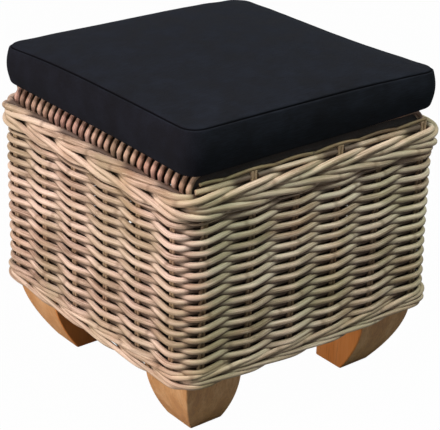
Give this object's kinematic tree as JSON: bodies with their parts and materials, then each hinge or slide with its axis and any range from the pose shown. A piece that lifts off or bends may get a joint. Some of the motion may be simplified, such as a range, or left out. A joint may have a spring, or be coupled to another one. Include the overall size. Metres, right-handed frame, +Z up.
{
  "type": "outdoor ottoman footstool",
  "caption": "Square footstool: basket of rattan woven over upright stakes, curved wooden feet, rod deck and loose box cushion that lifts off.",
  "frame": {"origin": "on the floor under the middle of the stool", "axes": "+Z up; the front side faces -Y, the left side faces -X; the deck rods run along X"},
  "size_m": [0.4384, 0.4384, 0.4613],
  "materials": {
    "rattan": "weathered peeled rattan, matt",
    "pale_rattan": "pale peeled rattan, matt",
    "stake_rattan": "thin brown rattan, matt",
    "deck_rattan": "dark brown rattan, matt",
    "foot_wood": "orange brown stained hardwood, satin",
    "frame_wood": "sawn softwood, matt",
    "steel": "zinc plated steel",
    "cloth": "near black outdoor canvas"
  },
  "bodies": {
    "basket": {"base_board": "frame_wood", "base_frame": "frame_wood", "corner_post_back_left": "frame_wood", "corner_post_back_right": "frame_wood", "corner_post_front_left": "frame_wood", "corner_post_front_right": "frame_wood", "deck": "deck_rattan", "foot_back_left": "foot_wood", "foot_back_right": "foot_wood", "foot_bolt_back_left": "steel", "foot_bolt_back_right": "steel", "foot_bolt_front_left": "steel", "foot_bolt_front_right": "steel", "foot_front_left": "foot_wood", "foot_front_right": "foot_wood", "rim_lower_rod_1": "pale_rattan", "rim_lower_rod_2": "pale_rattan", "rim_lower_rod_3": "pale_rattan", "rim_rod_back": "pale_rattan", "rim_rod_front": "pale_rattan", "rim_upper_rod_1": "pale_rattan", "rim_upper_rod_2": "pale_rattan", "rim_upper_rod_3": "pale_rattan", "skirt_lower_rod_1": "pale_rattan", "skirt_lower_rod_2": "pale_rattan", "skirt_lower_rod_3": "pale_rattan", "skirt_upper_rod_1": "pale_rattan", "skirt_upper_rod_2": "pale_rattan", "skirt_upper_rod_3": "pale_rattan", "stake_back_1": "stake_rattan", "stake_back_2": "stake_rattan", "stake_back_3": "stake_rattan", "stake_back_4": "stake_rattan", "stake_back_5": "stake_rattan", "stake_back_6": "stake_rattan", "stake_front_1": "stake_rattan", "stake_front_2": "stake_rattan", "stake_front_3": "stake_rattan", "stake_front_4": "stake_rattan", "stake_front_5": "stake_rattan", "stake_front_6": "stake_rattan", "stake_left_1": "stake_rattan", "stake_left_2": "stake_rattan", "stake_left_3": "stake_rattan", "stake_left_4": "stake_rattan", "stake_left_5": "stake_rattan", "stake_left_6": "stake_rattan", "stake_right_1": "stake_rattan", "stake_right_2": "stake_rattan", "stake_right_3": "stake_rattan", "stake_right_4": "stake_rattan", "stake_right_5": "stake_rattan", "stake_right_6": "stake_rattan", "top_frame": "frame_wood", "weaver_a": "rattan", "weaver_b": "rattan"},
    "cushion": {"cushion": "cloth"}
  },
  "joints": [
    {"name": "cushion_lift", "type": "slide", "parent": "basket", "child": "cushion", "axis": [0, 0, 1], "range_m": [0, 0.15]}
  ]
}
